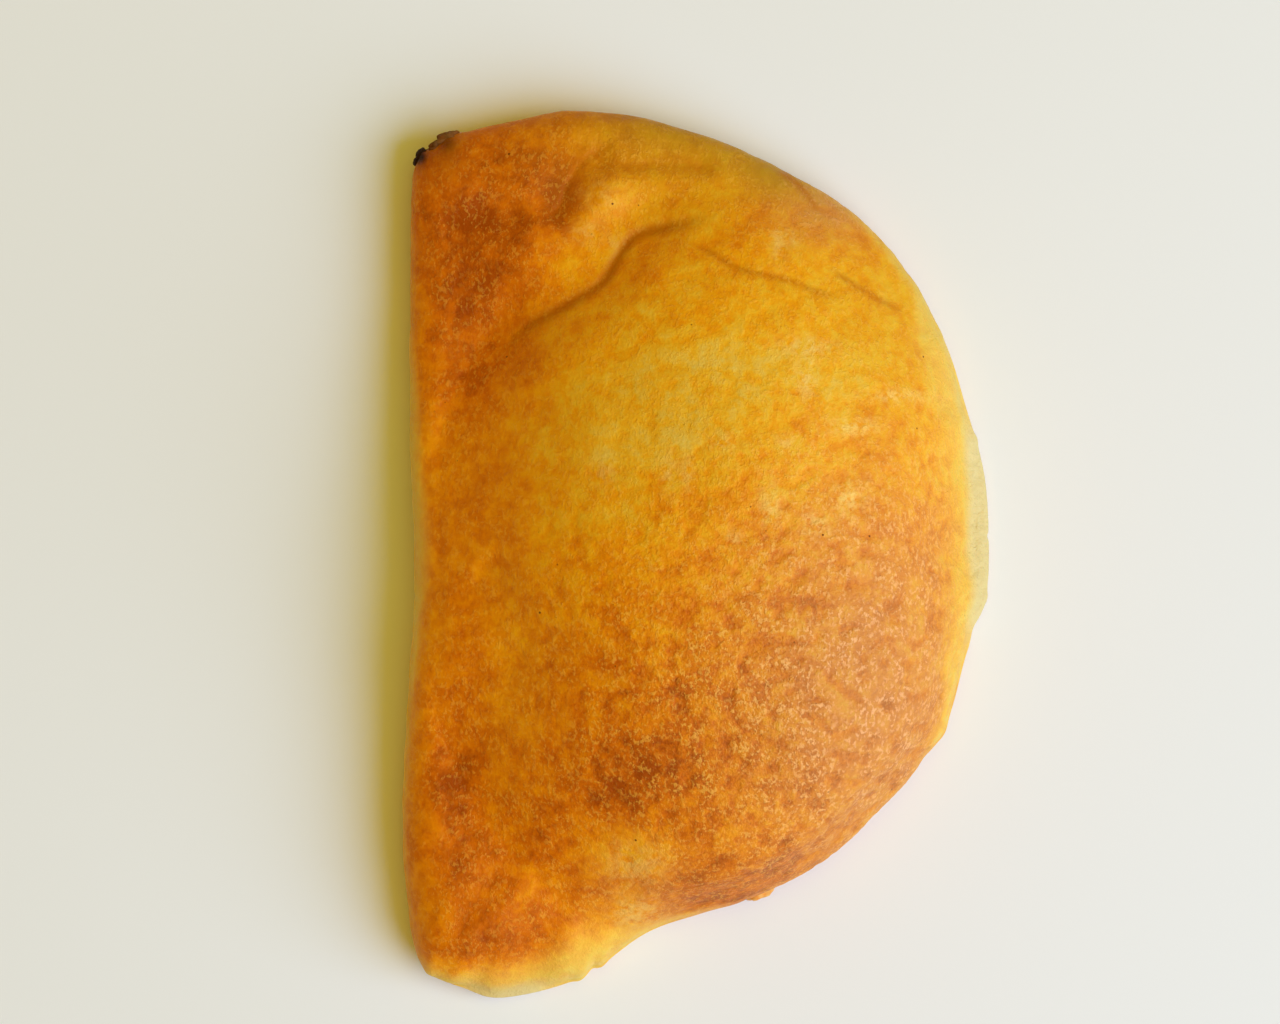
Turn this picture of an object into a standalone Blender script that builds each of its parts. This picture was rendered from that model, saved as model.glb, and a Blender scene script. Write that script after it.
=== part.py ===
"""A baked empanada: a half-moon of dough, folded over its filling and sealed along the curved edge.

The model lies as it is served, on its flat base, in metres with +Z up. The straight fold runs along Y on
the -X side and the curved, sealed edge faces +X. The origin is under the middle of the bounding box.
The top starts as a square grid that is drawn out to the edge of the dough. Its border is then pulled
down and tucked under, and the base is closed flat.
"""

import math

import bmesh
import bpy
import numpy as np
from mathutils import noise
from mathutils.kdtree import KDTree

MM = 0.001

# Driving dimensions, in metres.
LENGTH = 140.0 * MM  # along the fold
WIDTH = 92.6 * MM  # from the fold to the sealed edge
HEIGHT = 34.0 * MM  # at the top of the filling
SLAB = 15.5 * MM  # the two layers of dough where there is no filling

# Everything below is in millimetres, seen from above, until it is scaled at the end.
NODE = "empanada"
GRID = 60  # faces along each side of the grid that becomes the top
TUCK_ROWS = 4  # rows of faces from the widest line down to the base
SPINE = (-5.9, 1.5)  # the rays that measure the edge start here
EVEN_TO = 0.8  # the grid's rings are evenly spaced up to here, then crowd towards the edge

# The edge, anticlockwise from the sealed side: the whole silhouette is a smooth loop through these points.
EDGE_POINTS = (
    (46.2, 0.0), (45.5, 12.5), (42.6, 23.0), (39.3, 33.2), (33.8, 43.8), (25.8, 52.9), (16.3, 59.2),
    (3.6, 65.2), (-9.0, 68.9), (-20.1, 70.0), (-31.2, 67.9), (-38.7, 65.9), (-43.6, 62.6), (-45.0, 58.0), (-45.1, 48.3),
    (-45.3, 20.0), (-44.5, -4.0), (-45.9, -27.0), (-46.4, -45.0), (-44.8, -60.5), (-42.2, -65.8),
    (-37.0, -68.3), (-30.6, -69.9), (-18.5, -66.8), (-8.2, -59.8), (0.6, -56.6), (9.0, -54.0),
    (20.4, -47.9), (30.0, -38.9), (38.6, -28.2), (42.6, -15.5), (45.4, -8.0),
)  # fmt: skip

# Stations around the edge, by angle about the spine: how high the widest line lies, how far the dough
# tucks in below it, how wide its upper edge is rounded, how wide the bare lip of the seam is, and how
# much thinner the slab is there than in the middle.
STATIONS = (
    # angle, widest, tuck, rounding, lip, thinner
    (0, 2.4, 1.0, 15.0, 3.0, 0.0),
    (12, 2.6, 1.0, 15.0, 2.4, 0.0),
    (24, 4.0, 1.6, 15.0, 0.6, 0.0),
    (45, 6.0, 3.0, 16.0, 0.0, 0.0),
    (65, 6.6, 3.5, 15.5, 0.0, 0.5),
    (90, 7.0, 4.0, 14.0, 0.0, 1.5),
    (118, 6.5, 3.5, 9.0, 0.0, 4.0),
    (135, 7.0, 4.5, 5.5, 0.0, 4.5),
    (180, 9.0, 6.0, 4.0, 0.0, 0.5),
    (205, 8.5, 5.5, 4.2, 0.0, 0.0),
    (230, 7.0, 4.5, 6.0, 0.0, 2.0),
    (244, 4.0, 2.2, 12.0, 0.4, 3.0),
    (252, 2.8, 1.2, 15.0, 0.8, 3.0),
    (261, 2.6, 1.0, 15.0, 1.0, 2.0),
    (272, 2.8, 1.2, 14.0, 0.8, 1.0),
    (285, 4.2, 2.0, 14.0, 0.0, 0.5),
    (315, 5.0, 2.4, 15.0, 0.0, 0.0),
    (340, 3.8, 1.6, 15.0, 0.4, 0.0),
    (350, 2.6, 1.0, 15.0, 2.2, 0.0),
)
LIP_RISE = 1.6  # how much a bare lip thickens inwards
THIN_SPAN = 30.0  # how far in the slab takes to reach its full thickness

# The filling's mound: its middle, its reach to -X, +X, -Y and +Y, and how full its shoulders are.
MOUND_CENTRE = (5.0, -4.0)
MOUND_REACH = (49.0, 39.0, 60.0, 62.0)
MOUND_FULLNESS = 2.2
MOUND_SKIRT = 1.4  # how softly the mound runs out at its foot

# Creases in the crust: the line, how far the crust sinks towards it, and over what width to the left and
# to the right of the line.
MAIN_FOLD = (
    (3.5, 53.4), (-3.3, 51.7), (-9.4, 50.2), (-12.5, 46.5), (-15.2, 42.4), (-20.9, 39.0), (-27.4, 35.2),
    (-31.2, 30.5), (-35.4, 23.2),
)  # fmt: skip
UPPER_FOLD = ((-12.5, 65.4), (-17.6, 61.8), (-20.3, 58.0), (-21.4, 54.7), (-24.5, 51.6))
UPPER_BRANCH = ((-18.0, 61.6), (-11.6, 61.2), (-2.4, 61.3), (5.0, 60.0))
RIGHT_TUCK = ((-1.0, 49.6), (3.0, 47.3), (8.2, 45.2), (15.1, 43.3), (24.5, 41.3))
EDGE_TUCK = ((20.5, 45.8), (26.0, 42.8), (33.0, 39.2))
FOLD_VALLEY = ((-35.4, -0.7), (-31.4, -5.0), (-29.5, -11.0), (-30.2, -24.0))
CORNER_DENT = ((-42.0, 50.5), (-36.0, 52.4), (-31.5, 54.2), (-24.0, 51.5))
CREASES = (
    # line, depth, left, right
    (MAIN_FOLD, 2.1, 4.2, 6.5),
    (UPPER_FOLD, 1.6, 3.0, 5.5),
    (UPPER_BRANCH, 0.9, 7.0, 2.4),
    (RIGHT_TUCK, 0.6, 2.8, 2.2),
    (EDGE_TUCK, 0.5, 2.4, 2.0),
    (FOLD_VALLEY, 0.9, 4.5, 6.0),
    (CORNER_DENT, 0.9, 3.0, 5.0),
)
CREASE_TAPER = 0.22  # share of a crease's length over which each end fades in

# Puffs and sags of the crust between the creases: middle, height, and reach along X and Y.
PUFFS = (
    ((-14.0, 55.6), 1.1, 3.6, 3.0),  # the puff between the folds
    ((-17.0, 49.5), 0.9, 4.5, 3.6),  # the roll along the main fold
    ((-25.5, 43.5), 0.9, 5.5, 4.5),
    ((-25.5, 60.0), 0.8, 4.5, 5.0),
    ((-40.5, -24.0), 0.6, 5.0, 17.0),  # the roll of the fold
    ((24.0, -26.0), 1.2, 16.0, 13.0),  # the shoulder by the seam
)
UNEVEN = 0.5  # height of the dough's slow unevenness
UNEVEN_SPAN = 17.0  # and its span
RELIEF_FADE = 6.0  # mounds, creases and puffs run out over this distance from the edge

CRUST_COLOUR = (0.62, 0.27, 0.035, 1.0)
CRUST_ROUGHNESS = 0.5


def clear_scene():
    for obj in list(bpy.data.objects):
        bpy.data.objects.remove(obj, do_unlink=True)


def smooth_step(x):
    x = np.clip(x, 0.0, 1.0)
    return x * x * (3.0 - 2.0 * x)


def through(points, steps, closed):
    """A Catmull-Rom curve through the points, with that many steps to each span."""
    p = np.array(points, float)
    if closed:
        p = np.vstack([p[-1:], p, p[:2]])
    else:
        p = np.vstack([2 * p[0] - p[1], p, 2 * p[-1] - p[-2]])
    t = np.linspace(0.0, 1.0, steps, endpoint=False)[:, None]
    spans = []
    for a, b, c, d in zip(p, p[1:], p[2:], p[3:]):
        bend = 2 * a - 5 * b + 4 * c - d
        twist = 3 * (b - c) + d - a
        spans.append(0.5 * (2 * b + (c - a) * t + bend * t**2 + twist * t**3))
    return np.vstack(spans)


def fitted_edge():
    """The silhouette's loop, scaled to the driving length and width about the middle of its box."""
    loop = through(EDGE_POINTS, 60, closed=True)
    low, high = loop.min(0), loop.max(0)
    size = np.array([WIDTH, LENGTH]) / MM
    return (loop - (low + high) / 2) * size / (high - low)


class Edge:
    """The edge of the dough, measured by angle about the spine and by share of the way round."""

    def __init__(self):
        self.loop = fitted_edge()
        offset = self.loop - SPINE
        angle = np.unwrap(np.arctan2(offset[:, 1], offset[:, 0]))
        steps = np.linalg.norm(np.diff(self.loop, axis=0, append=self.loop[:1]), axis=1)
        self.angle = np.append(angle, angle[0] + math.tau)
        self.radius = np.append(np.hypot(*offset.T), np.hypot(*offset[0]))
        self.share = np.append(0.0, np.cumsum(steps)) / steps.sum()

    def angle_at(self, share):
        return np.interp(share % 1.0, self.share, self.angle)

    def radius_at(self, theta):
        return np.interp(theta, self.angle, self.radius, period=math.tau)

    def plan(self, theta, radius):
        return SPINE + radius[:, None] * np.column_stack([np.cos(theta), np.sin(theta)])

    def theta_of(self, plan):
        return np.arctan2(plan[:, 1] - SPINE[1], plan[:, 0] - SPINE[0])


def station(theta, column):
    """A value of STATIONS at each ray, eased from one station to the next."""
    rows = np.array(STATIONS, float)
    angle = np.degrees(theta) % 360.0
    starts = rows[:, 0]
    ends = np.append(starts[1:], 360.0)
    values = np.append(rows[:, column], rows[0, column])
    index = np.searchsorted(starts, angle, side="right") - 1
    ease = smooth_step((angle - starts[index]) / (ends[index] - starts[index]))
    return values[index] * (1.0 - ease) + values[index + 1] * ease


def nearest(line, plan):
    """The distance from each plan point to a line, the line's share passed there, and its side."""
    tree = KDTree(len(line))
    for index, (x, y) in enumerate(line):
        tree.insert((x, y, 0.0), index)
    tree.balance()
    index = np.array([tree.find((x, y, 0.0))[1] for x, y in plan])
    along = np.gradient(line, axis=0)
    step = np.linalg.norm(along, axis=1)[index]
    along = along[index] / step[:, None]
    across = plan - line[index]
    slide = np.clip((across * along).sum(1), -step / 2, step / 2)  # to the spot between two points
    distance = np.linalg.norm(across - slide[:, None] * along, axis=1)
    side = along[:, 0] * across[:, 1] - along[:, 1] * across[:, 0]
    return distance, index / (len(line) - 1), side


def slab_height(inside, theta):
    """The folded dough without its filling: a rounded edge that rises from the widest line or the lip."""
    widest, rounding, lip, thinner = (station(theta, column) for column in (1, 3, 4, 5))
    slab = SLAB / MM - thinner * (1.0 - smooth_step(inside / THIN_SPAN))
    lip_share = smooth_step(lip / 2.0)
    lip_height = widest + LIP_RISE * lip_share * np.sqrt(np.clip(inside / LIP_RISE, 0.0, 1.0))
    from_seam = np.clip((inside - lip) / rounding, 0.0, 1.0)
    blunt = 0.5 + 0.35 * lip_share  # 0.5 is round; the crust meets a bare lip at a slope
    crust = (1.0 - (1.0 - from_seam) ** 2) ** blunt
    return lip_height + (slab - lip_height) * crust


def mound_height(plan):
    """The filling under the crust."""
    left, right, down, up = MOUND_REACH
    x, y = (plan - MOUND_CENTRE).T
    reach_x = left + (right - left) * smooth_step(0.5 + x / (left + right))
    reach_y = down + (up - down) * smooth_step(0.5 + y / (down + up))
    out = np.clip(np.hypot(x / reach_x, y / reach_y), 0.0, 1.0)
    return (HEIGHT - SLAB) / MM * (1.0 - out**MOUND_FULLNESS) ** MOUND_SKIRT


def crease_depth(plan):
    total = np.zeros(len(plan))
    for points, depth, left, right in CREASES:
        distance, along, side = nearest(through(points, 24, closed=False), plan)
        width = np.where(side > 0.0, left, right)
        taper = smooth_step(along / CREASE_TAPER) * smooth_step((1.0 - along) / CREASE_TAPER)
        total += depth * taper * np.exp(-((distance / width) ** 2))
    return total


def puff_height(plan):
    total = np.zeros(len(plan))
    for middle, height, reach_x, reach_y in PUFFS:
        x, y = ((plan - middle) / (reach_x, reach_y)).T
        total += height * np.exp(-(x**2 + y**2))
    return total


def unevenness(plan):
    return UNEVEN * np.array([noise.noise((x / UNEVEN_SPAN, y / UNEVEN_SPAN, 3.7)) for x, y in plan])


def rings_and_shares(square):
    """For points of the grid from -1 to 1: how far out each lies, and its share of the way round."""
    x, y = square.T
    ring = np.maximum(abs(x), abs(y))
    sideways = abs(x) >= abs(y)
    slope = np.where(sideways, y, -x) / np.where(sideways, x, y)
    start = np.where(sideways, np.where(x > 0, 0.0, 0.5), np.where(y > 0, 0.25, 0.75))
    return ring, start + slope / 8


def crust_points(square, edge):
    """Carries points of the grid to the crust, with the grid's border on the widest line."""
    ring, share = rings_and_shares(square)
    theta = edge.angle_at(share)
    slope = 2.0 / (1.0 + EVEN_TO)
    crowded = 1.0 - slope / (2.0 * (1.0 - EVEN_TO)) * (1.0 - ring) ** 2
    reach = np.where(ring < EVEN_TO, slope * ring, crowded)
    plan = edge.plan(theta, reach * edge.radius_at(theta))
    theta = edge.theta_of(plan)
    inside = nearest(edge.loop, plan)[0]
    relief = mound_height(plan) + puff_height(plan) + unevenness(plan) - crease_depth(plan)
    height = slab_height(inside, theta) + relief * smooth_step(inside / RELIEF_FADE)
    return np.column_stack([plan, height])


def tucked_points(theta, turn, edge):
    """The dough tucked under, from the widest line, at turn 0, to the edge of the flat base, at turn 1."""
    widest, tuck = station(theta, 1), station(theta, 2)
    angle = turn * math.pi / 2
    radius = edge.radius_at(theta) - tuck * (1.0 - math.cos(angle))
    return np.column_stack([edge.plan(theta, radius), widest * (1.0 - math.sin(angle))])


def place(vertices, points):
    for vertex, point in zip(vertices, points):
        vertex.co = point


def plan_of(vertices):
    return np.array([vertex.co.xy for vertex in vertices])


def dough_mesh(mesh):
    edge = Edge()
    bm = bmesh.new()
    bmesh.ops.create_grid(bm, x_segments=GRID, y_segments=GRID, size=1.0)
    bm.verts.ensure_lookup_table()
    middle = min(bm.verts, key=lambda vertex: vertex.co.length)
    middle.co.x += 1e-6  # gives the middle a ray of its own
    place(bm.verts, crust_points(plan_of(bm.verts), edge))
    rim = [e for e in bm.edges if e.is_boundary]
    for row in range(TUCK_ROWS):
        made = bmesh.ops.extrude_edge_only(bm, edges=rim)["geom"]
        lower = [item for item in made if isinstance(item, bmesh.types.BMVert)]
        rim = [item for item in made if isinstance(item, bmesh.types.BMEdge) and item.is_boundary]
        theta = edge.theta_of(plan_of(lower))
        place(lower, tucked_points(theta, (row + 1) / TUCK_ROWS, edge))
    bmesh.ops.edgeloop_fill(bm, edges=rim)
    bmesh.ops.triangulate(bm, faces=bm.faces, quad_method="SHORT_EDGE")  # splits that run along the creases
    bmesh.ops.recalc_face_normals(bm, faces=bm.faces)
    rise = HEIGHT / MM / max(vertex.co.z for vertex in bm.verts)
    bmesh.ops.scale(bm, vec=(MM, MM, MM * rise), verts=bm.verts)
    bm.to_mesh(mesh)
    bm.free()


def crust_material():
    material = bpy.data.materials.new("baked_crust")
    material.use_nodes = True
    shader = material.node_tree.nodes["Principled BSDF"]
    shader.inputs["Base Color"].default_value = CRUST_COLOUR
    shader.inputs["Roughness"].default_value = CRUST_ROUGHNESS
    shader.inputs["Metallic"].default_value = 0.0
    return material


def make_empanada(collection):
    mesh = bpy.data.meshes.new(NODE)
    dough_mesh(mesh)
    mesh.shade_smooth()
    mesh.materials.append(crust_material())
    empanada = bpy.data.objects.new(NODE, mesh)
    collection.objects.link(empanada)
    return empanada


def main():
    clear_scene()
    collection = bpy.data.collections.new("empanada_part")
    bpy.context.scene.collection.children.link(collection)
    make_empanada(collection)


main()
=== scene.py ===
"""The looks of the baked empanada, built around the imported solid: its skin, the crumbs at its edge, light
and camera.

Lengths are in millimetres while the dough is shaped, and in metres from then on.
"""

import math

import bmesh
import bpy
import numpy as np
from mathutils import Matrix, Vector, noise
from mathutils.kdtree import KDTree


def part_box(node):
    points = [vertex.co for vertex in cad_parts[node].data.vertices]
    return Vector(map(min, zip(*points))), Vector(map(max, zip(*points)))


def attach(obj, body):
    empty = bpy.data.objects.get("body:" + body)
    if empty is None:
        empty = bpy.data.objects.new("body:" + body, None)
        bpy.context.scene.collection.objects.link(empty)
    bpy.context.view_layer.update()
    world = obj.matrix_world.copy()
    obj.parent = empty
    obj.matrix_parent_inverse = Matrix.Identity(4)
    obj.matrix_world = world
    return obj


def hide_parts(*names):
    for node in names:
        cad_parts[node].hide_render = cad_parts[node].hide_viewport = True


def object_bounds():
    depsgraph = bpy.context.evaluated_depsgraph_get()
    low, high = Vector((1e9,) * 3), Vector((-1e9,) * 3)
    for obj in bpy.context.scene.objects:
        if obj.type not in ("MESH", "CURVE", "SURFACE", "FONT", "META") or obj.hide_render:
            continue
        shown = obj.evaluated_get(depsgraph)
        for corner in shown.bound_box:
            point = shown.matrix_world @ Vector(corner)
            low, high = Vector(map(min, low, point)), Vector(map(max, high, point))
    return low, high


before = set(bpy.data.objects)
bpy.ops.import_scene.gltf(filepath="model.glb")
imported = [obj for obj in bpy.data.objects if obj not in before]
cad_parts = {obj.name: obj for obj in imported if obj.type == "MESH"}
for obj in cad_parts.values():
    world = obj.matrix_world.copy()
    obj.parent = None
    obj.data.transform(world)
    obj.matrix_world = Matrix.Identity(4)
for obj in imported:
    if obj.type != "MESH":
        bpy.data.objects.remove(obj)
cad_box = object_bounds()

MM = 0.001
NODE = "empanada"
LOW, HIGH = (np.array(corner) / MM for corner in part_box(NODE))
HEIGHT = HIGH[2] - LOW[2]
SLAB = 15.5  # the two layers of dough where there is no filling

GRID = 260  # faces along each side of the grid that becomes the top
TUCK_ROWS = 12  # rows of faces from the widest line down to the base
BASE_GRID = 60
SPINE = (-5.9, 1.5)  # the rays that measure the edge start here
EVEN_TO = 0.8  # the grid's rings are evenly spaced up to here, then crowd towards the edge

# The edge, anticlockwise from the sealed side: the whole silhouette is a smooth loop through these points.
EDGE_POINTS = (
    (46.2, 0.0), (45.5, 12.5), (42.6, 23.0), (39.3, 33.2), (33.8, 43.8), (25.8, 52.9), (16.3, 59.2),
    (3.6, 65.2), (-9.0, 68.9), (-20.1, 70.0), (-31.2, 67.9), (-38.7, 65.9), (-43.6, 62.6), (-45.0, 58.0),
    (-45.1, 48.3), (-45.3, 20.0), (-44.5, -4.0), (-45.9, -27.0), (-46.4, -45.0), (-44.8, -60.5),
    (-42.2, -65.8), (-37.0, -68.3), (-30.6, -69.9), (-18.5, -66.8), (-8.2, -59.8), (0.6, -56.6), (9.0, -54.0),
    (20.4, -47.9), (30.0, -38.9), (38.6, -28.2), (42.6, -15.5), (45.4, -8.0),
)  # fmt: skip

# Ragged spots of the edge: the place, how far the dough stands out there, and over what span.
NICKS = (
    ((-43.4, 63.2), 0.8, 0.8),  # the burnt tip
    ((-41.8, 64.3), 0.2, 0.8),
    ((-38.8, 65.8), 0.7, 1.6),
    ((-42.2, -65.6), 0.4, 1.0),  # around the pale lower corner
    ((-18.3, -66.7), 0.5, 1.2),
    ((-16.6, -65.8), -0.5, 0.8),
    ((-14.6, -64.8), 0.4, 1.0),
    ((38.8, -27.8), 0.4, 1.8),  # along the seam
    ((35.4, -31.6), -0.4, 1.6),
    ((21.3, -47.0), -0.2, 0.5),
    ((45.7, -6.8), 0.3, 1.2),
    ((43.4, -11.2), -0.6, 2.0),
    ((46.3, 3.0), -0.25, 0.6),
    ((43.9, 18.2), 0.3, 1.0),
)
NICKED_FROM = 0.94  # share of the way out from which they ruffle the rim

# Stations around the edge, by angle about the spine: how high the widest line lies, how far the dough
# tucks in below it, how wide its upper edge is rounded, how wide the bare lip of the seam is, how far in
# from the edge the crust stays pale, and how much thinner the slab is there than in the middle.
STATIONS = (
    # angle, widest, tuck, rounding, lip, pale, thinner
    (0, 2.4, 1.0, 15.0, 3.0, 6.5, 0.0),
    (12, 2.6, 1.0, 15.0, 2.4, 6.5, 0.0),
    (24, 4.0, 1.6, 15.0, 0.6, 5.0, 0.0),
    (37, 5.2, 2.4, 15.5, 0.0, 4.4, 0.0),
    (46, 6.0, 3.0, 16.0, 0.0, 1.4, 0.0),
    (65, 6.6, 3.5, 15.5, 0.0, 0.8, 0.5),
    (90, 7.0, 4.0, 14.0, 0.0, 0.4, 1.5),
    (118, 6.5, 3.5, 9.0, 0.0, 0.4, 4.0),
    (135, 7.0, 4.5, 5.5, 0.0, 0.8, 4.5),
    (152, 7.8, 5.2, 4.5, 0.0, 1.6, 2.8),
    (180, 9.0, 6.0, 3.5, 0.0, 2.4, 0.5),
    (205, 8.5, 5.5, 3.8, 0.0, 1.2, 0.0),
    (230, 7.0, 4.5, 6.0, 0.0, 0.8, 2.0),
    (239, 6.0, 3.8, 8.0, 0.0, 0.8, 2.4),
    (244, 4.0, 2.2, 12.0, 0.0, 1.6, 3.0),
    (248, 3.2, 1.5, 14.0, 1.0, 4.4, 3.0),
    (253, 2.8, 1.2, 15.0, 1.2, 5.0, 3.0),
    (258, 2.6, 1.0, 15.0, 0.4, 6.4, 2.5),
    (263, 2.6, 1.0, 15.0, 0.3, 4.0, 2.0),
    (269, 2.8, 1.2, 14.0, 0.2, 1.4, 1.2),
    (285, 4.2, 2.0, 14.0, 0.0, 0.6, 0.5),
    (315, 5.0, 2.4, 15.0, 0.0, 0.6, 0.0),
    (328, 4.4, 2.0, 15.0, 0.2, 1.6, 0.0),
    (340, 3.8, 1.6, 15.0, 0.4, 4.0, 0.0),
    (350, 2.6, 1.0, 15.0, 1.6, 5.5, 0.0),
)
LIP_RISE = 1.6  # how much a bare lip thickens inwards
THIN_SPAN = 30.0  # how far in the slab takes to reach its full thickness

# The filling's mound: its middle, its reach to -X, +X, -Y and +Y, and how full its shoulders are.
MOUND_CENTRE = (5.0, -4.0)
MOUND_REACH = (49.0, 39.0, 60.0, 62.0)
MOUND_FULLNESS = 2.2
MOUND_SKIRT = 1.4  # how softly the mound runs out at its foot

# Creases in the crust: the line, how far the crust sinks towards it, over what width to the left and to
# the right of the line, how deep and wide the narrow groove along its bottom is, how much darker the groove
# is painted (painted shade and browner crust), and how far from the line.
MAIN_FOLD = (
    (3.5, 53.4), (-3.3, 51.7), (-9.4, 50.2), (-12.5, 46.5), (-15.2, 42.4), (-20.9, 39.0), (-27.4, 35.2),
    (-31.2, 30.5), (-35.4, 23.2),
)  # fmt: skip
UPPER_FOLD = ((-12.5, 65.4), (-17.6, 61.8), (-20.3, 58.0), (-21.4, 54.7), (-24.5, 51.6))
UPPER_BRANCH = ((-18.0, 61.6), (-11.6, 61.2), (-2.4, 61.3), (5.0, 60.0))
RIGHT_TUCK = ((-2.2, 49.0), (1.9, 47.3), (6.6, 44.6), (14.2, 42.8), (18.8, 41.0), (24.7, 39.7))
EDGE_TUCK = ((20.0, 45.2), (26.2, 41.3), (32.8, 37.8))
RIM_TUCK = ((12.0, 61.0), (15.4, 58.8), (17.4, 56.4), (19.6, 53.0))
FOLD_VALLEY = ((-35.4, -0.7), (-31.4, -5.0), (-29.5, -11.0), (-30.2, -24.0))
CORNER_DENT = ((-42.0, 50.5), (-36.0, 52.4), (-31.5, 54.2), (-24.0, 51.5))
CREASES = (
    # line, depth, left, right, groove, dark, reach
    (MAIN_FOLD, 1.8, 4.2, 7.0, 0.0, 0.0, 1.0),
    (MAIN_FOLD[:8], 0.0, 1.0, 1.0, 0.7, 0.80, 1.1),
    (UPPER_FOLD, 1.5, 2.8, 6.5, 0.3, 0.50, 2.0),
    (UPPER_BRANCH, 0.9, 7.0, 1.8, 0.2, 0.30, 1.4),
    (RIGHT_TUCK, 0.3, 1.8, 1.4, 0.2, 0.55, 0.5),
    (EDGE_TUCK, 0.2, 1.6, 1.2, 0.2, 0.6, 0.45),
    (RIM_TUCK, 0.15, 1.6, 1.2, 0.2, 0.6, 0.6),
    (FOLD_VALLEY, 0.9, 4.5, 6.0, 0.0, 0.0, 1.0),
    (CORNER_DENT, 0.9, 3.0, 5.0, 0.0, 0.0, 1.0),
)
CREASE_TAPER = 0.22  # share of a crease's length over which each end fades in

# Puffs and sags of the crust between the creases: middle, height, and reach along X and Y.
PUFFS = (
    ((-14.0, 55.6), 1.1, 3.6, 3.0),  # the puff between the folds
    ((-17.0, 49.5), 0.9, 4.5, 3.6),  # the roll along the main fold
    ((-25.5, 43.5), 0.9, 5.5, 4.5),
    ((-26.5, 60.0), 0.5, 5.0, 5.0),
    ((-40.5, -24.0), 0.3, 5.0, 17.0),  # the roll of the fold
    ((24.0, -26.0), 1.2, 16.0, 13.0),  # the shoulder by the seam
)
UNEVEN = 0.5  # height of the dough's slow unevenness
UNEVEN_SPAN = 17.0  # and its span
RELIEF_FADE = 6.0  # mounds, creases and puffs run out over this distance from the edge

# Where the crust baked browner than its usual level, or stayed more golden: middle, amount, reach.
BAKE_LEVEL = 0.58
BROWNING = (
    ((4.0, 28.0), -0.27, 25.0, 20.0),  # the golden upper dome
    ((-16.0, 14.0), -0.15, 17.0, 15.0),
    ((32.0, 34.0), -0.10, 16.0, 22.0),
    ((-13.0, 56.5), -0.05, 6.0, 5.0),
    ((-2.0, 56.0), -0.08, 8.0, 6.0),
    ((-15.0, 65.6), -0.14, 4.0, 1.8),
    ((-22.0, 68.5), 0.13, 9.0, 3.0),
    ((-18.5, 47.0), -0.10, 6.0, 4.0),  # the roll along the main fold
    ((-11.0, -36.0), 0.22, 11.0, 8.0),  # the brownest patch
    ((-4.0, -28.0), 0.13, 22.0, 14.0),
    ((27.0, -28.0), 0.07, 20.0, 18.0),
    ((-10.0, -46.0), -0.12, 9.0, 5.0),
    ((7.0, -52.5), 0.30, 15.0, 6.0),  # the lower rim
    ((18.0, -46.0), 0.06, 10.0, 5.0),
    ((-34.0, 53.0), 0.27, 13.0, 15.0),  # the upper corner
    ((-26.0, 60.0), 0.14, 5.0, 4.0),
    ((-21.0, 57.0), 0.31, 2.6, 5.5),
    ((-35.0, 33.0), 0.25, 8.0, 17.0),
    ((-37.0, 2.0), 0.08, 5.0, 12.0),
    ((-24.0, 52.5), 0.12, 4.0, 3.0),
    ((-35.0, 53.5), 0.12, 7.0, 3.0),
    ((-38.0, -38.0), 0.30, 5.5, 17.0),  # the roll of the fold
    ((-45.5, 0.0), -0.14, 2.4, 44.0),  # its outer side
    ((-27.0, -49.0), 0.16, 11.0, 9.0),
    ((-17.5, -61.5), 0.10, 5.0, 3.0),
    ((-31.5, -60.5), 0.26, 9.0, 4.5),
    ((-39.5, -65.0), -0.16, 3.5, 2.0),
)
CRINKLED = ((20.0, -20.0), 0.75, 32.0, 36.0)  # where the skin is finely crinkled
CRINKLED_LEAST = 0.25
DENTS = (  # the smooth orange dents that stand out: middle, share of the full depth, reach
    ((8.0, 9.6), 1.0, 2.0, 2.5),
    ((8.7, 19.8), 0.9, 2.5, 2.0),
    ((13.7, 20.2), 0.9, 2.8, 1.8),
    ((22.8, 17.2), 0.9, 2.8, 1.1),
    ((22.0, 12.6), 1.0, 2.6, 1.4),
    ((27.2, 23.4), 0.8, 4.0, 1.2),
    ((25.4, 38.6), 0.6, 1.5, 2.2),
    ((0.8, 11.9), 0.8, 1.5, 1.5),
    ((1.7, 3.9), 0.8, 2.2, 1.0),
    ((1.9, -0.3), 1.0, 3.0, 2.0),
    ((-2.2, -8.2), 0.9, 3.0, 2.0),
    ((17.5, -7.1), 1.2, 2.5, 1.5),
    ((23.6, -4.5), 1.1, 3.0, 1.0),
    ((9.1, -13.6), 1.2, 2.5, 1.6),
)
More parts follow.
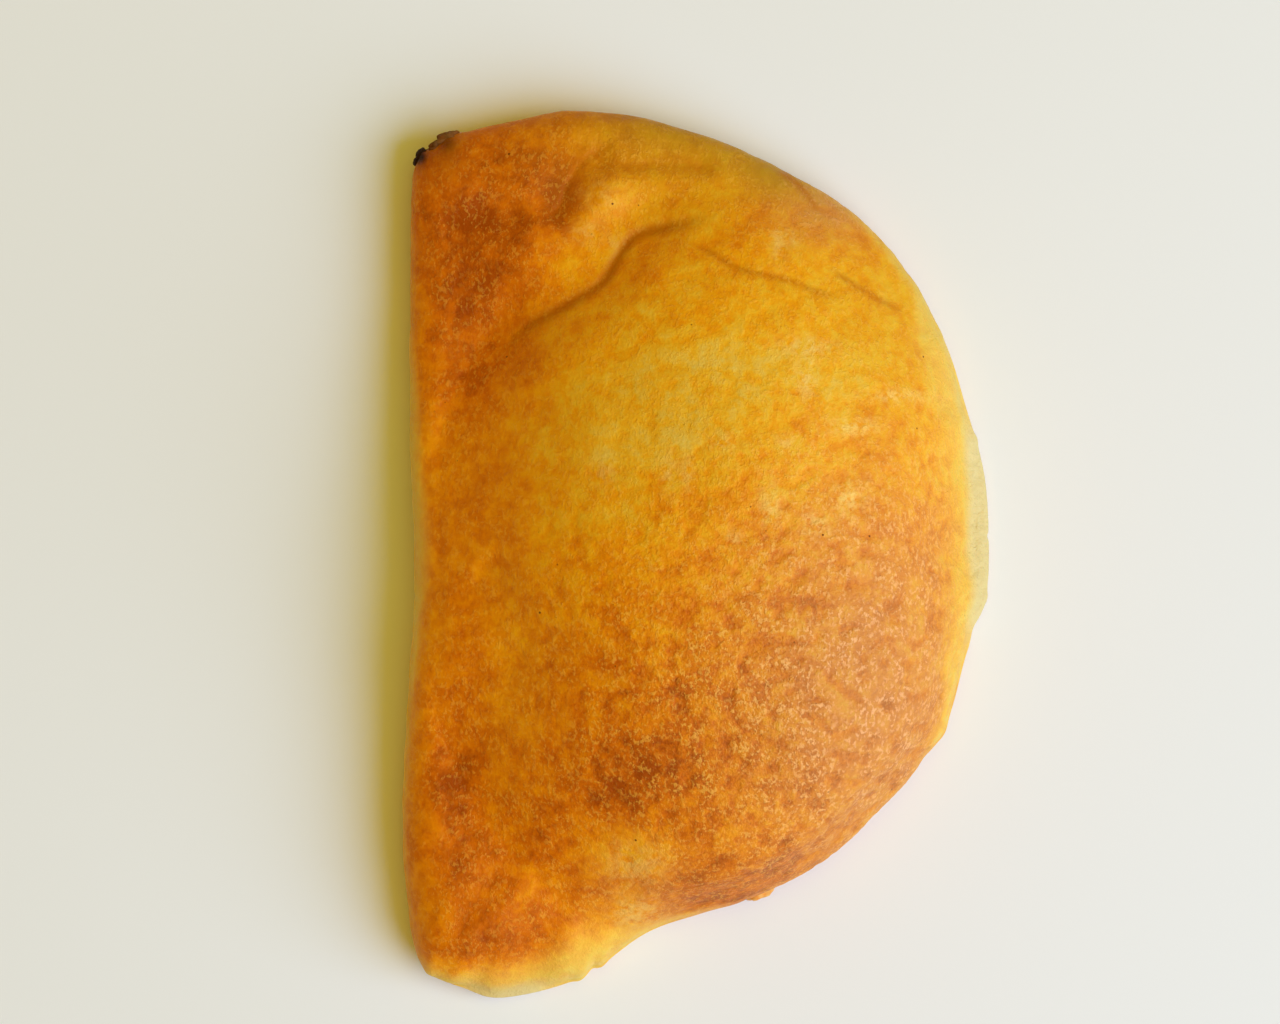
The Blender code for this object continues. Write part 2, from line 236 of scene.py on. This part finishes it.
PALE_SPOTS_AND_HIGHLIGHTS = (  # creamy streaks and spots between them, partly painted highlights on ridges and puffs that face the key light: middle, amount, reach
    ((23.2, 9.2), 0.9, 2.2, 2.4),
    ((18.2, 5.0), 0.7, 2.4, 1.6),
    ((11.0, 7.8), 0.7, 1.6, 3.2),
    ((5.3, 2.7), 0.6, 1.6, 1.2),
    ((13.7, 17.5), 0.6, 1.6, 1.0),
    ((3.8, 17.5), 0.7, 2.2, 1.2),
    ((-4.5, 13.4), 0.6, 1.2, 3.0),
    ((-1.7, 13.2), 0.6, 1.0, 2.6),
    ((-14.4, 13.4), 0.5, 2.0, 2.4),
    ((16.7, 27.6), 0.8, 1.6, 3.2),
    ((24.0, 20.0), 0.8, 4.0, 1.2),
    ((30.7, 24.8), 0.7, 5.5, 0.9),
    ((17.0, 32.4), 0.8, 4.2, 1.4),
    ((12.7, 48.8), 0.6, 1.2, 3.0),
    ((15.1, 49.5), 0.7, 1.0, 1.0),
    ((-15.1, 56.2), 0.3, 3.0, 2.4),
    ((-17.2, 50.4), 0.4, 2.4, 1.6),
    ((-12.3, 48.9), 0.4, 1.6, 1.0),
    ((-9.5, -56.0), 0.6, 4.0, 2.4),
    ((-9.5, -48.0), 0.45, 4.5, 3.5),
)
CHARRED = (
    ((-43.7, 62.6), 0.9, 1.5, 1.5),
    ((-38.9, 65.0), 0.6, 2.3, 2.3),
    ((-40.5, 62.5), 0.35, 5.0, 3.6),
)
DULL_AND_SHEEN = (  # where the skin is drier and duller, with painted sheen: the key-lit lower right given a duller, pinker haze
    ((27.0, -20.0), 0.55, 21.0, 34.0),
    # painted shade: the upper right rim, which faces away from the key light
    ((21.0, 55.5), 0.60, 8.0, 6.0),
    ((-8.0, -51.5), 0.15, 8.0, 5.0),
)
OLIVE_SHADE = (  # painted shade: the upper rim and the upper side, which face away from the key light, darkened to olive brown
    ((0.0, 68.0), 0.65, 20.0, 7.0),
    ((13.0, 61.0), 0.50, 8.0, 5.0),
    ((12.0, 58.0), 0.15, 5.0, 2.5),
    ((-7.0, 57.0), 0.18, 14.0, 8.0),
    ((32.0, 38.0), 0.22, 12.0, 18.0),
)

# Linear colours of the crust, from bare dough to well browned, by how far it baked.
BAKE_COLOURS = (
    (0.00, (0.82, 0.62, 0.16)),
    (0.15, (0.86, 0.57, 0.08)),
    (0.30, (0.92, 0.50, 0.02)),
    (0.42, (0.92, 0.40, 0.005)),
    (0.54, (0.88, 0.31, 0.002)),
    (0.66, (0.79, 0.23, 0.001)),
    (0.80, (0.66, 0.15, 0.001)),
    (1.00, (0.40, 0.07, 0.001)),
)
LIP_COLOUR = (0.74, 0.59, 0.24, 1.0)
# painted shade, with browner crust, along the crease grooves
CREASE_SHADE_COLOUR = (0.50, 0.13, 0.002, 1.0)
PALE_COLOUR = (0.78, 0.57, 0.13, 1.0)
# creamy spots and painted highlights on ridges and puffs
SPOT_AND_HIGHLIGHT_COLOUR = (0.92, 0.60, 0.14, 1.0)
# painted shade: the tiny pores drawn as dark dots
PORE_SHADE_COLOUR = (0.20, 0.05, 0.002, 1.0)
BURNING_COLOURS = ((0.6, (0.24, 0.045, 0.003)), (0.8, (0.12, 0.025, 0.003)), (1.0, (0.035, 0.011, 0.003)))
CRUMB_COLOURS = ((0.35, (0.82, 0.30, 0.04)), (0.65, (0.90, 0.52, 0.14)))
# duller skin with painted sheen, and painted shade on the upper right rim
DULL_AND_SHEEN_COLOUR = (0.62, 0.30, 0.09, 1.0)
# painted shade on the upper rim and upper side
OLIVE_SHADE_COLOUR = (0.42, 0.27, 0.015, 1.0)
# pale blisters of the skin, with painted glints where the key light catches them
FLECK_AND_GLINT_COLOUR = (1.0, 0.54, 0.06, 1.0)
SHEEN_FLECK_AND_GLINT_COLOUR = (1.0, 0.52, 0.22, 1.0)

# Crumbs that stick out of the edge: place, size, turn and how burnt they are.
CRUMBS = (
    ((9.9, -53.0, 2.9), (2.6, 1.4, 0.9), 22.0, 0.0),  # at the seam
    ((-43.1, 63.1, 7.0), (1.1, 0.9, 0.9), 40.0, 1.0),  # at the burnt tip
    ((-43.9, 61.9, 6.4), (0.7, 0.8, 0.7), 0.0, 1.0),
    ((-39.0, 65.5, 7.6), (1.9, 1.2, 1.1), 15.0, 0.85),
    ((-41.2, 64.2, 7.6), (1.3, 0.9, 0.9), 35.0, 0.90),
)

PHOTO_WIDTH = 203.0 * MM  # what the camera sees from side to side at the height of the edge
CAMERA_HEIGHT = 1.0
VIEW_CENTRE = (-8.9 * MM, 6.8 * MM)


def smooth_step(x):
    x = np.clip(x, 0.0, 1.0)
    return x * x * (3.0 - 2.0 * x)


def through(points, steps, closed):
    """A Catmull-Rom curve through the points, with that many steps to each span."""
    p = np.array(points, float)
    if closed:
        p = np.vstack([p[-1:], p, p[:2]])
    else:
        p = np.vstack([2 * p[0] - p[1], p, 2 * p[-1] - p[-2]])
    t = np.linspace(0.0, 1.0, steps, endpoint=False)[:, None]
    spans = []
    for a, b, c, d in zip(p, p[1:], p[2:], p[3:]):
        bend = 2 * a - 5 * b + 4 * c - d
        twist = 3 * (b - c) + d - a
        spans.append(0.5 * (2 * b + (c - a) * t + bend * t**2 + twist * t**3))
    return np.vstack(spans)


def fitted_edge():
    """The silhouette's loop, scaled to the CAD node's length and width about the middle of its box."""
    loop = through(EDGE_POINTS, 60, closed=True)
    low, high = loop.min(0), loop.max(0)
    return (loop - (low + high) / 2) * (HIGH - LOW)[:2] / (high - low) + (HIGH + LOW)[:2] / 2


class Edge:
    """The edge of the dough, measured by angle about the spine and by share of the way round."""

    def __init__(self):
        self.loop = fitted_edge()
        offset = self.loop - SPINE
        angle = np.unwrap(np.arctan2(offset[:, 1], offset[:, 0]))
        steps = np.linalg.norm(np.diff(self.loop, axis=0, append=self.loop[:1]), axis=1)
        self.angle = np.append(angle, angle[0] + math.tau)
        self.radius = np.append(np.hypot(*offset.T), np.hypot(*offset[0]))
        self.share = np.append(0.0, np.cumsum(steps)) / steps.sum()

    def angle_at(self, share):
        return np.interp(share % 1.0, self.share, self.angle)

    def smooth_radius(self, theta):
        return np.interp(theta, self.angle, self.radius, period=math.tau)

    def radius_at(self, theta, reach=1.0):
        """The distance from the spine at that share of the way out; only the rim is nicked."""
        smooth = self.smooth_radius(theta)
        plan = self.plan(theta, smooth)
        nick = sum(out * np.exp(-((plan - spot) ** 2).sum(1) / span**2) for spot, out, span in NICKS)
        return reach * smooth + nick * smooth_step((reach - NICKED_FROM) / (1.0 - NICKED_FROM))

    def plan(self, theta, radius):
        return SPINE + radius[:, None] * np.column_stack([np.cos(theta), np.sin(theta)])

    def theta_of(self, plan):
        return np.arctan2(plan[:, 1] - SPINE[1], plan[:, 0] - SPINE[0])


def station(theta, column):
    """A value of STATIONS at each ray, eased from one station to the next."""
    rows = np.array(STATIONS, float)
    angle = np.degrees(theta) % 360.0
    starts = rows[:, 0]
    ends = np.append(starts[1:], 360.0)
    values = np.append(rows[:, column], rows[0, column])
    index = np.searchsorted(starts, angle, side="right") - 1
    ease = smooth_step((angle - starts[index]) / (ends[index] - starts[index]))
    return values[index] * (1.0 - ease) + values[index + 1] * ease


def nearest(line, plan):
    """The distance from each plan point to a line, the line's share passed there, and its side."""
    tree = KDTree(len(line))
    for index, (x, y) in enumerate(line):
        tree.insert((x, y, 0.0), index)
    tree.balance()
    index = np.array([tree.find((x, y, 0.0))[1] for x, y in plan])
    along = np.gradient(line, axis=0)
    step = np.linalg.norm(along, axis=1)[index]
    along = along[index] / step[:, None]
    across = plan - line[index]
    slide = np.clip((across * along).sum(1), -step / 2, step / 2)  # to the spot between two points
    distance = np.linalg.norm(across - slide[:, None] * along, axis=1)
    side = along[:, 0] * across[:, 1] - along[:, 1] * across[:, 0]
    return distance, index / (len(line) - 1), side


def bumps(plan, table):
    """The sum of soft round bumps, each with its middle, height, and reach along X and Y."""
    total = np.zeros(len(plan))
    for middle, height, reach_x, reach_y in table:
        x, y = ((plan - middle) / (reach_x, reach_y)).T
        total += height * np.exp(-(x**2 + y**2))
    return total


def noise_at(points, spans, shift):
    """Smooth noise from -1 to 1 over points, whose waves have these spans along each axis."""
    return np.array([noise.noise(p) for p in points / spans + shift])


def slab_height(inside, theta):
    """The folded dough without its filling: a rounded edge that rises from the widest line or the lip."""
    widest, rounding, lip, thinner = (station(theta, column) for column in (1, 3, 4, 6))
    slab = SLAB - thinner * (1.0 - smooth_step(inside / THIN_SPAN))
    lip_share = smooth_step(lip / 2.0)
    lip_height = widest + LIP_RISE * lip_share * np.sqrt(np.clip(inside / LIP_RISE, 0.0, 1.0))
    from_seam = (inside - lip) / rounding
    from_seam = np.clip(0.5 * (from_seam + np.hypot(from_seam, 0.05 * lip_share)), 0.0, 1.0)
    blunt = 0.5 + 0.35 * lip_share  # 0.5 is round; the crust meets a bare lip at a slope
    crust = (1.0 - (1.0 - from_seam) ** 2) ** blunt
    return lip_height + (slab - lip_height) * crust


def mound_height(plan):
    """The filling under the crust."""
    left, right, down, up = MOUND_REACH
    x, y = (plan - MOUND_CENTRE).T
    reach_x = left + (right - left) * smooth_step(0.5 + x / (left + right))
    reach_y = down + (up - down) * smooth_step(0.5 + y / (down + up))
    out = np.clip(np.hypot(x / reach_x, y / reach_y), 0.0, 1.0)
    return (HEIGHT - SLAB) * (1.0 - out**MOUND_FULLNESS) ** MOUND_SKIRT


def crease_depth(plan):
    """How far the creases sink the crust, and how strongly painted shade and browner crust darken it along
    their grooves.
    """
    total = np.zeros(len(plan))
    shade = np.zeros(len(plan))
    for points, depth, left, right, groove, dark, reach in CREASES:
        distance, along, side = nearest(through(points, 24, closed=False), plan)
        taper = smooth_step(along / CREASE_TAPER) * smooth_step((1.0 - along) / CREASE_TAPER)
        total += depth * taper * np.exp(-((distance / np.where(side > 0.0, left, right)) ** 2))
        if groove:
            total += groove * taper * np.exp(-((distance / groove) ** 2))
            shade = np.maximum(shade, dark * taper * np.exp(-((distance / reach) ** 2)))
    return total, shade


def rings_and_shares(square):
    """For points of the grid from -1 to 1: how far out each lies, and its share of the way round."""
    x, y = square.T
    ring = np.maximum(abs(x), abs(y))
    sideways = abs(x) >= abs(y)
    slope = np.where(sideways, y, -x) / np.where(sideways, x, y)
    start = np.where(sideways, np.where(x > 0, 0.0, 0.5), np.where(y > 0, 0.25, 0.75))
    return ring, start + slope / 8


def crust_points(square, edge):
    """Carries points of the grid to the crust, with the grid's border on the widest line."""
    ring, share = rings_and_shares(square)
    theta = edge.angle_at(share)
    slope = 2.0 / (1.0 + EVEN_TO)
    crowded = 1.0 - slope / (2.0 * (1.0 - EVEN_TO)) * (1.0 - ring) ** 2
    reach = np.where(ring < EVEN_TO, slope * ring, crowded)
    inside = nearest(edge.loop, edge.plan(theta, reach * edge.smooth_radius(theta)))[0]
    plan = edge.plan(theta, edge.radius_at(theta, reach))
    flat = np.column_stack([plan, np.full(len(plan), 3.7 * UNEVEN_SPAN)])
    uneven = UNEVEN * noise_at(flat, UNEVEN_SPAN, 0.0)
    relief = mound_height(plan) + bumps(plan, PUFFS) + uneven - crease_depth(plan)[0]
    height = slab_height(inside, theta) + relief * smooth_step(inside / RELIEF_FADE)
    return np.column_stack([plan, height])


def tucked_points(theta, turn, edge):
    """The dough tucked under, from the widest line, at turn 0, to the edge of the flat base, at turn 1."""
    widest, tuck = station(theta, 1), station(theta, 2)
    angle = turn * math.pi / 2
    radius = edge.radius_at(theta) - tuck * (1.0 - math.cos(angle))
    return np.column_stack([edge.plan(theta, radius), widest * (1.0 - math.sin(angle))])


def place(vertices, points):
    for vertex, point in zip(vertices, points):
        vertex.co = point


def plan_of(vertices):
    return np.array([vertex.co.xy for vertex in vertices])


def square_grid(bm, faces):
    """A grid from -1 to 1, whose middle vertex is nudged so that it has a ray of its own."""
    made = bmesh.ops.create_grid(bm, x_segments=faces, y_segments=faces, size=1.0)["verts"]
    middle = min(made, key=lambda vertex: vertex.co.length)
    middle.co.x += 1e-6
    return made


def dough_mesh(edge):
    bm = bmesh.new()
    top = square_grid(bm, GRID)
    place(top, crust_points(plan_of(top), edge))
    rim = [e for e in bm.edges if e.is_boundary]
    for row in range(TUCK_ROWS):
        made = bmesh.ops.extrude_edge_only(bm, edges=rim)["geom"]
        lower = [item for item in made if isinstance(item, bmesh.types.BMVert)]
        rim = [item for item in made if isinstance(item, bmesh.types.BMEdge) and item.is_boundary]
        theta = edge.theta_of(plan_of(lower))
        place(lower, tucked_points(theta, (row + 1) / TUCK_ROWS, edge))
    base = square_grid(bm, BASE_GRID)
    ring, share = rings_and_shares(plan_of(base))
    theta = edge.angle_at(share)
    radius = ring * 0.985 * (edge.radius_at(theta) - station(theta, 2))
    place(base, np.column_stack([edge.plan(theta, radius), np.zeros(len(base))]))
    inner = [e for vertex in base for e in vertex.link_edges if e.is_boundary]
    bmesh.ops.bridge_loops(bm, edges=rim + list(set(inner)))
    bmesh.ops.recalc_face_normals(bm, faces=bm.faces)
    mesh = bpy.data.meshes.new("crust")
    bm.to_mesh(mesh)
    bm.free()
    return mesh


def coordinates(mesh):
    flat = np.empty(len(mesh.vertices) * 3)
    mesh.vertices.foreach_get("co", flat)
    return flat.reshape(-1, 3)


def store(mesh, name, values):
    attribute = mesh.attributes.new(name, "FLOAT", "POINT")
    attribute.data.foreach_set("value", values.astype(np.float32))


def fine_relief(points, crinkle):
    """How far the skin stands out of the smooth dough, and how deep its soft dents are."""
    lumps = 0.16 * noise_at(points, (6.0, 4.6, 6.0), 11.0)
    dents = 0.8 * smooth_step((noise_at(points, (2.9, 2.0, 2.5), 31.0) - 0.10) / 0.25)
    dents = np.maximum(dents, bumps(points[:, :2], DENTS))
    wrinkles = 1.0 - 2.0 * abs(noise_at(points, (2.4, 1.7, 2.0), 53.0))
    grain = noise_at(points, (1.15, 1.0, 1.1), 77.0)
    out = lumps - 0.34 * dents * crinkle + (0.10 * wrinkles + 0.10 * grain) * crinkle
    return out, dents


def make_crust():
    edge = Edge()
    mesh = dough_mesh(edge)
    points = coordinates(mesh)
    points[:, 2] *= HEIGHT / points[:, 2].max()
    mesh.vertices.foreach_set("co", points.ravel())
    plan = points[:, :2]
    theta = edge.theta_of(plan)
    inside = nearest(edge.loop, plan)[0]
    under = smooth_step(1.5 - points[:, 2])
    crinkle = (CRINKLED_LEAST + bumps(plan, (CRINKLED,))) * (1.0 - under)
    out, dents = fine_relief(points, crinkle)
    mesh.shade_smooth()
    normals = np.empty(len(mesh.vertices) * 3)
    mesh.vertex_normals.foreach_get("vector", normals)
    lip_width = station(theta, 4)
    to_rim = edge.radius_at(theta) - np.hypot(*(plan - SPINE).T)
    calm_rim = smooth_step(lip_width / 0.03) * (1.0 - smooth_step(to_rim / 1.2))  # a thin rim stays smooth
    fade = smooth_step(points[:, 2] / 3.0) * (1.0 - calm_rim)
    points = points + normals.reshape(-1, 3) * (out * fade)[:, None]
    points[:, 2] = np.maximum(points[:, 2], 0.0)
    mesh.vertices.foreach_set("co", (points * MM).ravel())
    pale_width = station(theta, 5)
    pale = smooth_step(pale_width / 2.0) * np.exp(-((inside / pale_width) ** 3))
    pale *= smooth_step(points[:, 2] / station(theta, 1) + 0.1)  # it fades down the side
    bake = BAKE_LEVEL + bumps(plan, BROWNING)
    bake = bake * (1.0 - 0.45 * pale) * (1.0 - under) + 0.30 * under
    lip = smooth_step(lip_width / 1.5) * smooth_step((lip_width - inside) / 2.4 + 0.7) * (1.0 - under)
    store(mesh, "bake", bake)
    store(mesh, "lip", lip)
    store(mesh, "pale", pale * (1.0 - under))
    store(mesh, "dent", dents)
    # creamy streaks, partly painted highlights on ridges and puffs that face the key light
    store(mesh, "spot", bumps(plan, PALE_SPOTS_AND_HIGHLIGHTS))
    store(mesh, "crinkle", crinkle)
    # painted shade and browner crust along the crease grooves
    store(mesh, "crease_shade_and_browning", crease_depth(plan)[1])
    # duller skin with painted sheen on the key-lit lower right and painted shade on the upper right rim
    store(mesh, "dull_and_sheen", bumps(plan, DULL_AND_SHEEN) * (1.0 - pale))
    # painted shade on the upper rim and upper side, away from the key light
    store(mesh, "olive_shade", bumps(plan, OLIVE_SHADE))
    store(mesh, "char", np.clip(bumps(plan, CHARRED), 0.0, 1.0) * smooth_step((points[:, 2] - 2.0) / 4.0))
    return mesh


def add_crumb(bm, char, place_at, size, turn, burnt):
    made = bmesh.ops.create_icosphere(bm, subdivisions=4, radius=1.0)["verts"]
    for vertex in made:
        ragged = 1.0 + 0.4 * noise.noise(vertex.co * 1.6 + Vector(place_at))
        vertex.co *= ragged + 0.12 * noise.noise(vertex.co * 6.0)
        vertex[char] = burnt
    bmesh.ops.scale(bm, vec=Vector(size) * MM, verts=made)
    bmesh.ops.rotate(bm, matrix=Matrix.Rotation(math.radians(turn), 3, "Z"), verts=made)
    bmesh.ops.translate(bm, vec=Vector(place_at) * MM, verts=made)


def make_crumbs():
    """The ragged bits of dough that stand out of the seam and of the burnt tip."""
    bm = bmesh.new()
    char = bm.verts.layers.float.new("char")
    for crumb in CRUMBS:
        add_crumb(bm, char, *crumb)
    mesh = bpy.data.meshes.new("crumbs")
    bm.to_mesh(mesh)
    bm.free()
    mesh.shade_smooth()
    return mesh


class Nodes:
    """Short ways to add and link nodes in one material."""

    def __init__(self, name):
        self.material = bpy.data.materials.new(name)
        self.material.use_nodes = True
        self.tree = self.material.node_tree
        self.shader = self.tree.nodes["Principled BSDF"]
        self.place = self.tree.nodes.new("ShaderNodeTexCoord").outputs["Object"]

    def link(self, value, socket):
        if isinstance(value, bpy.types.NodeSocket):
            self.tree.links.new(value, socket)
        else:
            socket.default_value = value

    def attribute(self, name):
        node = self.tree.nodes.new("ShaderNodeAttribute")
        node.attribute_name = name
        return node.outputs["Fac"]

    def math(self, operation, a, b=0.0, clamp=False):
        node = self.tree.nodes.new("ShaderNodeMath")
        node.operation = operation
        node.use_clamp = clamp
        self.link(a, node.inputs[0])
        self.link(b, node.inputs[1])
        return node.outputs[0]

    def spread(self, value, low, high, to_low=0.0, to_high=1.0):
        node = self.tree.nodes.new("ShaderNodeMapRange")
        self.link(value, node.inputs["Value"])
        for name, number in (("From Min", low), ("From Max", high), ("To Min", to_low), ("To Max", to_high)):
            node.inputs[name].default_value = number
        return node.outputs["Result"]

    def noise(self, span, detail=2.0, roughness=0.5, stretch=None, curl=0.0):
        """Noise from about 0 to 1 with waves of that many metres."""
        node = self.tree.nodes.new("ShaderNodeTexNoise")
        node.inputs["Scale"].default_value = 1.0 / span
        node.inputs["Distortion"].default_value = curl
        node.inputs["Detail"].default_value = detail
        node.inputs["Roughness"].default_value = roughness
        where = self.place
        if stretch:
            mapping = self.tree.nodes.new("ShaderNodeMapping")
            mapping.inputs["Scale"].default_value = stretch
            self.link(self.place, mapping.inputs["Vector"])
            where = mapping.outputs["Vector"]
        self.link(where, node.inputs["Vector"])
        return node.outputs["Fac"]

    def specks(self, span, stretch, patch_span):
        """Small curly blots that gather in patches."""
        blots = self.spread(self.noise(span, 3.0, 0.6, stretch, 0.25), 0.51, 0.60)
        return self.math("MULTIPLY", blots, self.spread(self.noise(patch_span), 0.25, 0.55))

    def dots(self, span, radius):
        """Tiny round dots, in a few of the cells of that size."""
        node = self.tree.nodes.new("ShaderNodeTexVoronoi")
        node.inputs["Scale"].default_value = 1.0 / span
        self.link(self.place, node.inputs["Vector"])
        dot = self.spread(node.outputs["Distance"], 0.6 * radius / span, radius / span, 1.0, 0.0)
        return self.math("MULTIPLY", dot, self.spread(node.outputs["Color"], 0.60, 0.68))

    def ramp(self, value, stops):
        node = self.tree.nodes.new("ShaderNodeValToRGB")
        elements = node.color_ramp.elements
        while len(elements) < len(stops):
            elements.new(0.5)
        for element, (position, colour) in zip(elements, stops):
            element.position = position
            element.color = (*colour, 1.0)
        self.link(value, node.inputs["Fac"])
        return node.outputs["Color"]

    def mix(self, share, first, second):
        node = self.tree.nodes.new("ShaderNodeMix")
        node.data_type = "RGBA"
        self.link(share, node.inputs["Factor"])
        self.link(first, node.inputs["A"])
        self.link(second, node.inputs["B"])
        return node.outputs["Result"]

    def bump(self, height, strength, distance, normal=None):
        node = self.tree.nodes.new("ShaderNodeBump")
        node.inputs["Distance"].default_value = distance
        self.link(strength, node.inputs["Strength"])
        self.link(height, node.inputs["Height"])
        if normal is not None:
            self.link(normal, node.inputs["Normal"])
        return node.outputs["Normal"]


def crust_colour(n, crinkle, skin, specks):
    bake = n.math("ADD", n.attribute("bake"), n.spread(n.noise(8 * MM, 3.0, 0.6), 0.3, 0.7, -0.10, 0.10))
    patches = n.spread(n.noise(2.4 * MM, 3.0, 0.6, (1.1, 0.9, 1.0)), 0.4, 0.6, 0.5, -0.5)
    bake = n.math("ADD", bake, n.math("MULTIPLY", patches, n.spread(crinkle, 0.2, 1.0, 0.12, 0.22)))
    grain = n.spread(skin, 0.32, 0.68, 0.5, -0.5)
    bake = n.math("ADD", bake, n.math("MULTIPLY", grain, n.spread(crinkle, 0.2, 1.0, 0.06, 0.22)))
    dent = n.attribute("dent")
    bake = n.math("ADD", bake, n.math("MULTIPLY", dent, n.spread(crinkle, 0.2, 1.0, 0.05, 0.18)), clamp=True)
    # duller skin with painted sheen and painted shade, less of it in the dents
    dull_and_sheen = n.math("MULTIPLY", n.attribute("dull_and_sheen"), n.spread(dent, 0.0, 1.0, 1.05, 0.7))
    colour = n.mix(dull_and_sheen, n.ramp(bake, BAKE_COLOURS), DULL_AND_SHEEN_COLOUR)
    # painted shade: the upper rim and upper side darkened to olive brown
    colour = n.mix(n.attribute("olive_shade"), colour, OLIVE_SHADE_COLOUR)
    colour = n.mix(n.spread(n.attribute("pale"), 0.0, 1.0, 0.0, 0.48), colour, PALE_COLOUR)
    # the crease grooves are painted darker: painted shade and browner crust
    colour = n.mix(n.attribute("crease_shade_and_browning"), colour, CREASE_SHADE_COLOUR)
    # pale flecks: blisters of the skin and painted glints, strongest on the crinkled side
    fleck_and_glint = n.mix(n.math("MULTIPLY", dull_and_sheen, 1.8, clamp=True), FLECK_AND_GLINT_COLOUR, SHEEN_FLECK_AND_GLINT_COLOUR)
    ragged = n.spread(n.noise(1.4 * MM, 3.0, 0.6), 0.40, 0.58)
    # creamy streaks and painted highlights on ridges and puffs
    colour = n.mix(n.math("MULTIPLY", n.attribute("spot"), ragged), colour, SPOT_AND_HIGHLIGHT_COLOUR)
    clear = n.spread(dent, 0.0, 1.0, 1.0, 0.25)  # the dents are smooth and have few flecks
    flecks_and_glints = n.math("MULTIPLY", n.math("MULTIPLY", specks, clear), n.spread(crinkle, 0.2, 1.0, 0.20, 0.75))
    colour = n.mix(flecks_and_glints, colour, fleck_and_glint)
    # painted shade of the tiny pores, as dark dots
    colour = n.mix(n.dots(4 * MM, 0.22 * MM), colour, PORE_SHADE_COLOUR)
    colour = n.mix(n.attribute("lip"), colour, LIP_COLOUR)
    return burnt_colour(n, colour)


def burnt_colour(n, colour):
    """The colour, browned and then blackened where it is burnt."""
    burnt = n.attribute("char")
    return n.mix(burnt, colour, n.ramp(burnt, BURNING_COLOURS))


def crumb_material():
    n = Nodes("baked_crumb")
    colour = n.ramp(n.noise(1.0 * MM), CRUMB_COLOURS)
    n.link(burnt_colour(n, colour), n.shader.inputs["Base Color"])
    n.link(n.bump(n.noise(0.5 * MM), 0.6, 0.15 * MM), n.shader.inputs["Normal"])
    n.shader.inputs["Roughness"].default_value = 0.6
    n.shader.inputs["Specular IOR Level"].default_value = 0.1
    return n.material


def crust_material():
    n = Nodes("baked_crust")
    crinkle = n.attribute("crinkle")
    skin = n.noise(0.8 * MM, 3.0, 0.65)
    specks = n.specks(0.7 * MM, (1.2, 0.9, 1.0), 4 * MM)
    n.link(crust_colour(n, crinkle, skin, specks), n.shader.inputs["Base Color"])
    n.link(n.spread(n.noise(2.0 * MM), 0.3, 0.7, 0.36, 0.50), n.shader.inputs["Roughness"])
    normal = n.bump(specks, 0.5, 0.12 * MM)
    normal = n.bump(skin, n.spread(crinkle, 0.2, 1.0, 0.25, 0.95), 0.40 * MM, normal)
    normal = n.bump(n.noise(0.4 * MM, 2.0), 0.3, 0.10 * MM, normal)
    n.link(normal, n.shader.inputs["Normal"])
    n.shader.inputs["Subsurface Weight"].default_value = 0.06
    n.shader.inputs["Subsurface Radius"].default_value = (1.0, 0.45, 0.12)
    n.shader.inputs["Subsurface Scale"].default_value = 1.0 * MM
    n.shader.inputs["Specular IOR Level"].default_value = 0.08
    return n.material


def add_piece(mesh, name, material):
    mesh.materials.append(material)
    piece = bpy.data.objects.new(name, mesh)
    bpy.context.scene.collection.objects.link(piece)
    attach(piece, "root")
    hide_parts(NODE)
    return piece


def make_floor():
    mesh = bpy.data.meshes.new("table")
    bm = bmesh.new()
    bmesh.ops.create_grid(bm, x_segments=1, y_segments=1, size=3.0)
    bm.to_mesh(mesh)
    bm.free()
    n = Nodes("pale_table")
    n.shader.inputs["Base Color"].default_value = (0.85, 0.87, 0.87, 1.0)
    n.shader.inputs["Roughness"].default_value = 0.9
    n.shader.inputs["Specular IOR Level"].default_value = 0.1
    mesh.materials.append(n.material)
    floor = bpy.data.objects.new("table", mesh)
    floor.location.z = cad_box[0][2] - 0.05 * MM
    bpy.context.scene.collection.objects.link(floor)


def add_light(name, colour, power, size, place, target=(0.0, 0.0, 0.0)):
    light = bpy.data.lights.new(name, "AREA")
    light.color = colour
    light.energy = power
    light.shape = "DISK"
    light.size = size
    lamp = bpy.data.objects.new(name, light)
    lamp.location = place
    lamp.rotation_euler = (Vector(target) - Vector(place)).to_track_quat("-Z", "Y").to_euler()
    bpy.context.scene.collection.objects.link(lamp)


def light_scene():
    add_light("key", (0.55, 0.67, 1.0), 36.0, 1.7, (1.08, -0.50, 0.95))
    add_light("warm_fill", (1.0, 0.78, 0.12), 4.8, 1.2, (0.10, 0.15, 1.30))
    world = bpy.data.worlds.new("dim_room")
    world.use_nodes = True
    world.node_tree.nodes["Background"].inputs["Color"].default_value = (1.0, 0.76, 0.13, 1.0)
    world.node_tree.nodes["Background"].inputs["Strength"].default_value = 0.28
    bpy.context.scene.world = world
    bpy.context.scene.view_settings.view_transform = "Standard"


def set_camera():
    camera = bpy.data.cameras.new("camera")
    camera.sensor_width = 36.0
    camera.lens = camera.sensor_width * CAMERA_HEIGHT / PHOTO_WIDTH
    camera.clip_end = 20.0
    eye = bpy.data.objects.new("camera", camera)
    eye.location = (*VIEW_CENTRE, CAMERA_HEIGHT)
    bpy.context.scene.collection.objects.link(eye)
    bpy.context.scene.camera = eye


set_camera()
light_scene()
make_floor()
add_piece(make_crust(), "crust", crust_material())
add_piece(make_crumbs(), "crumbs", crumb_material())
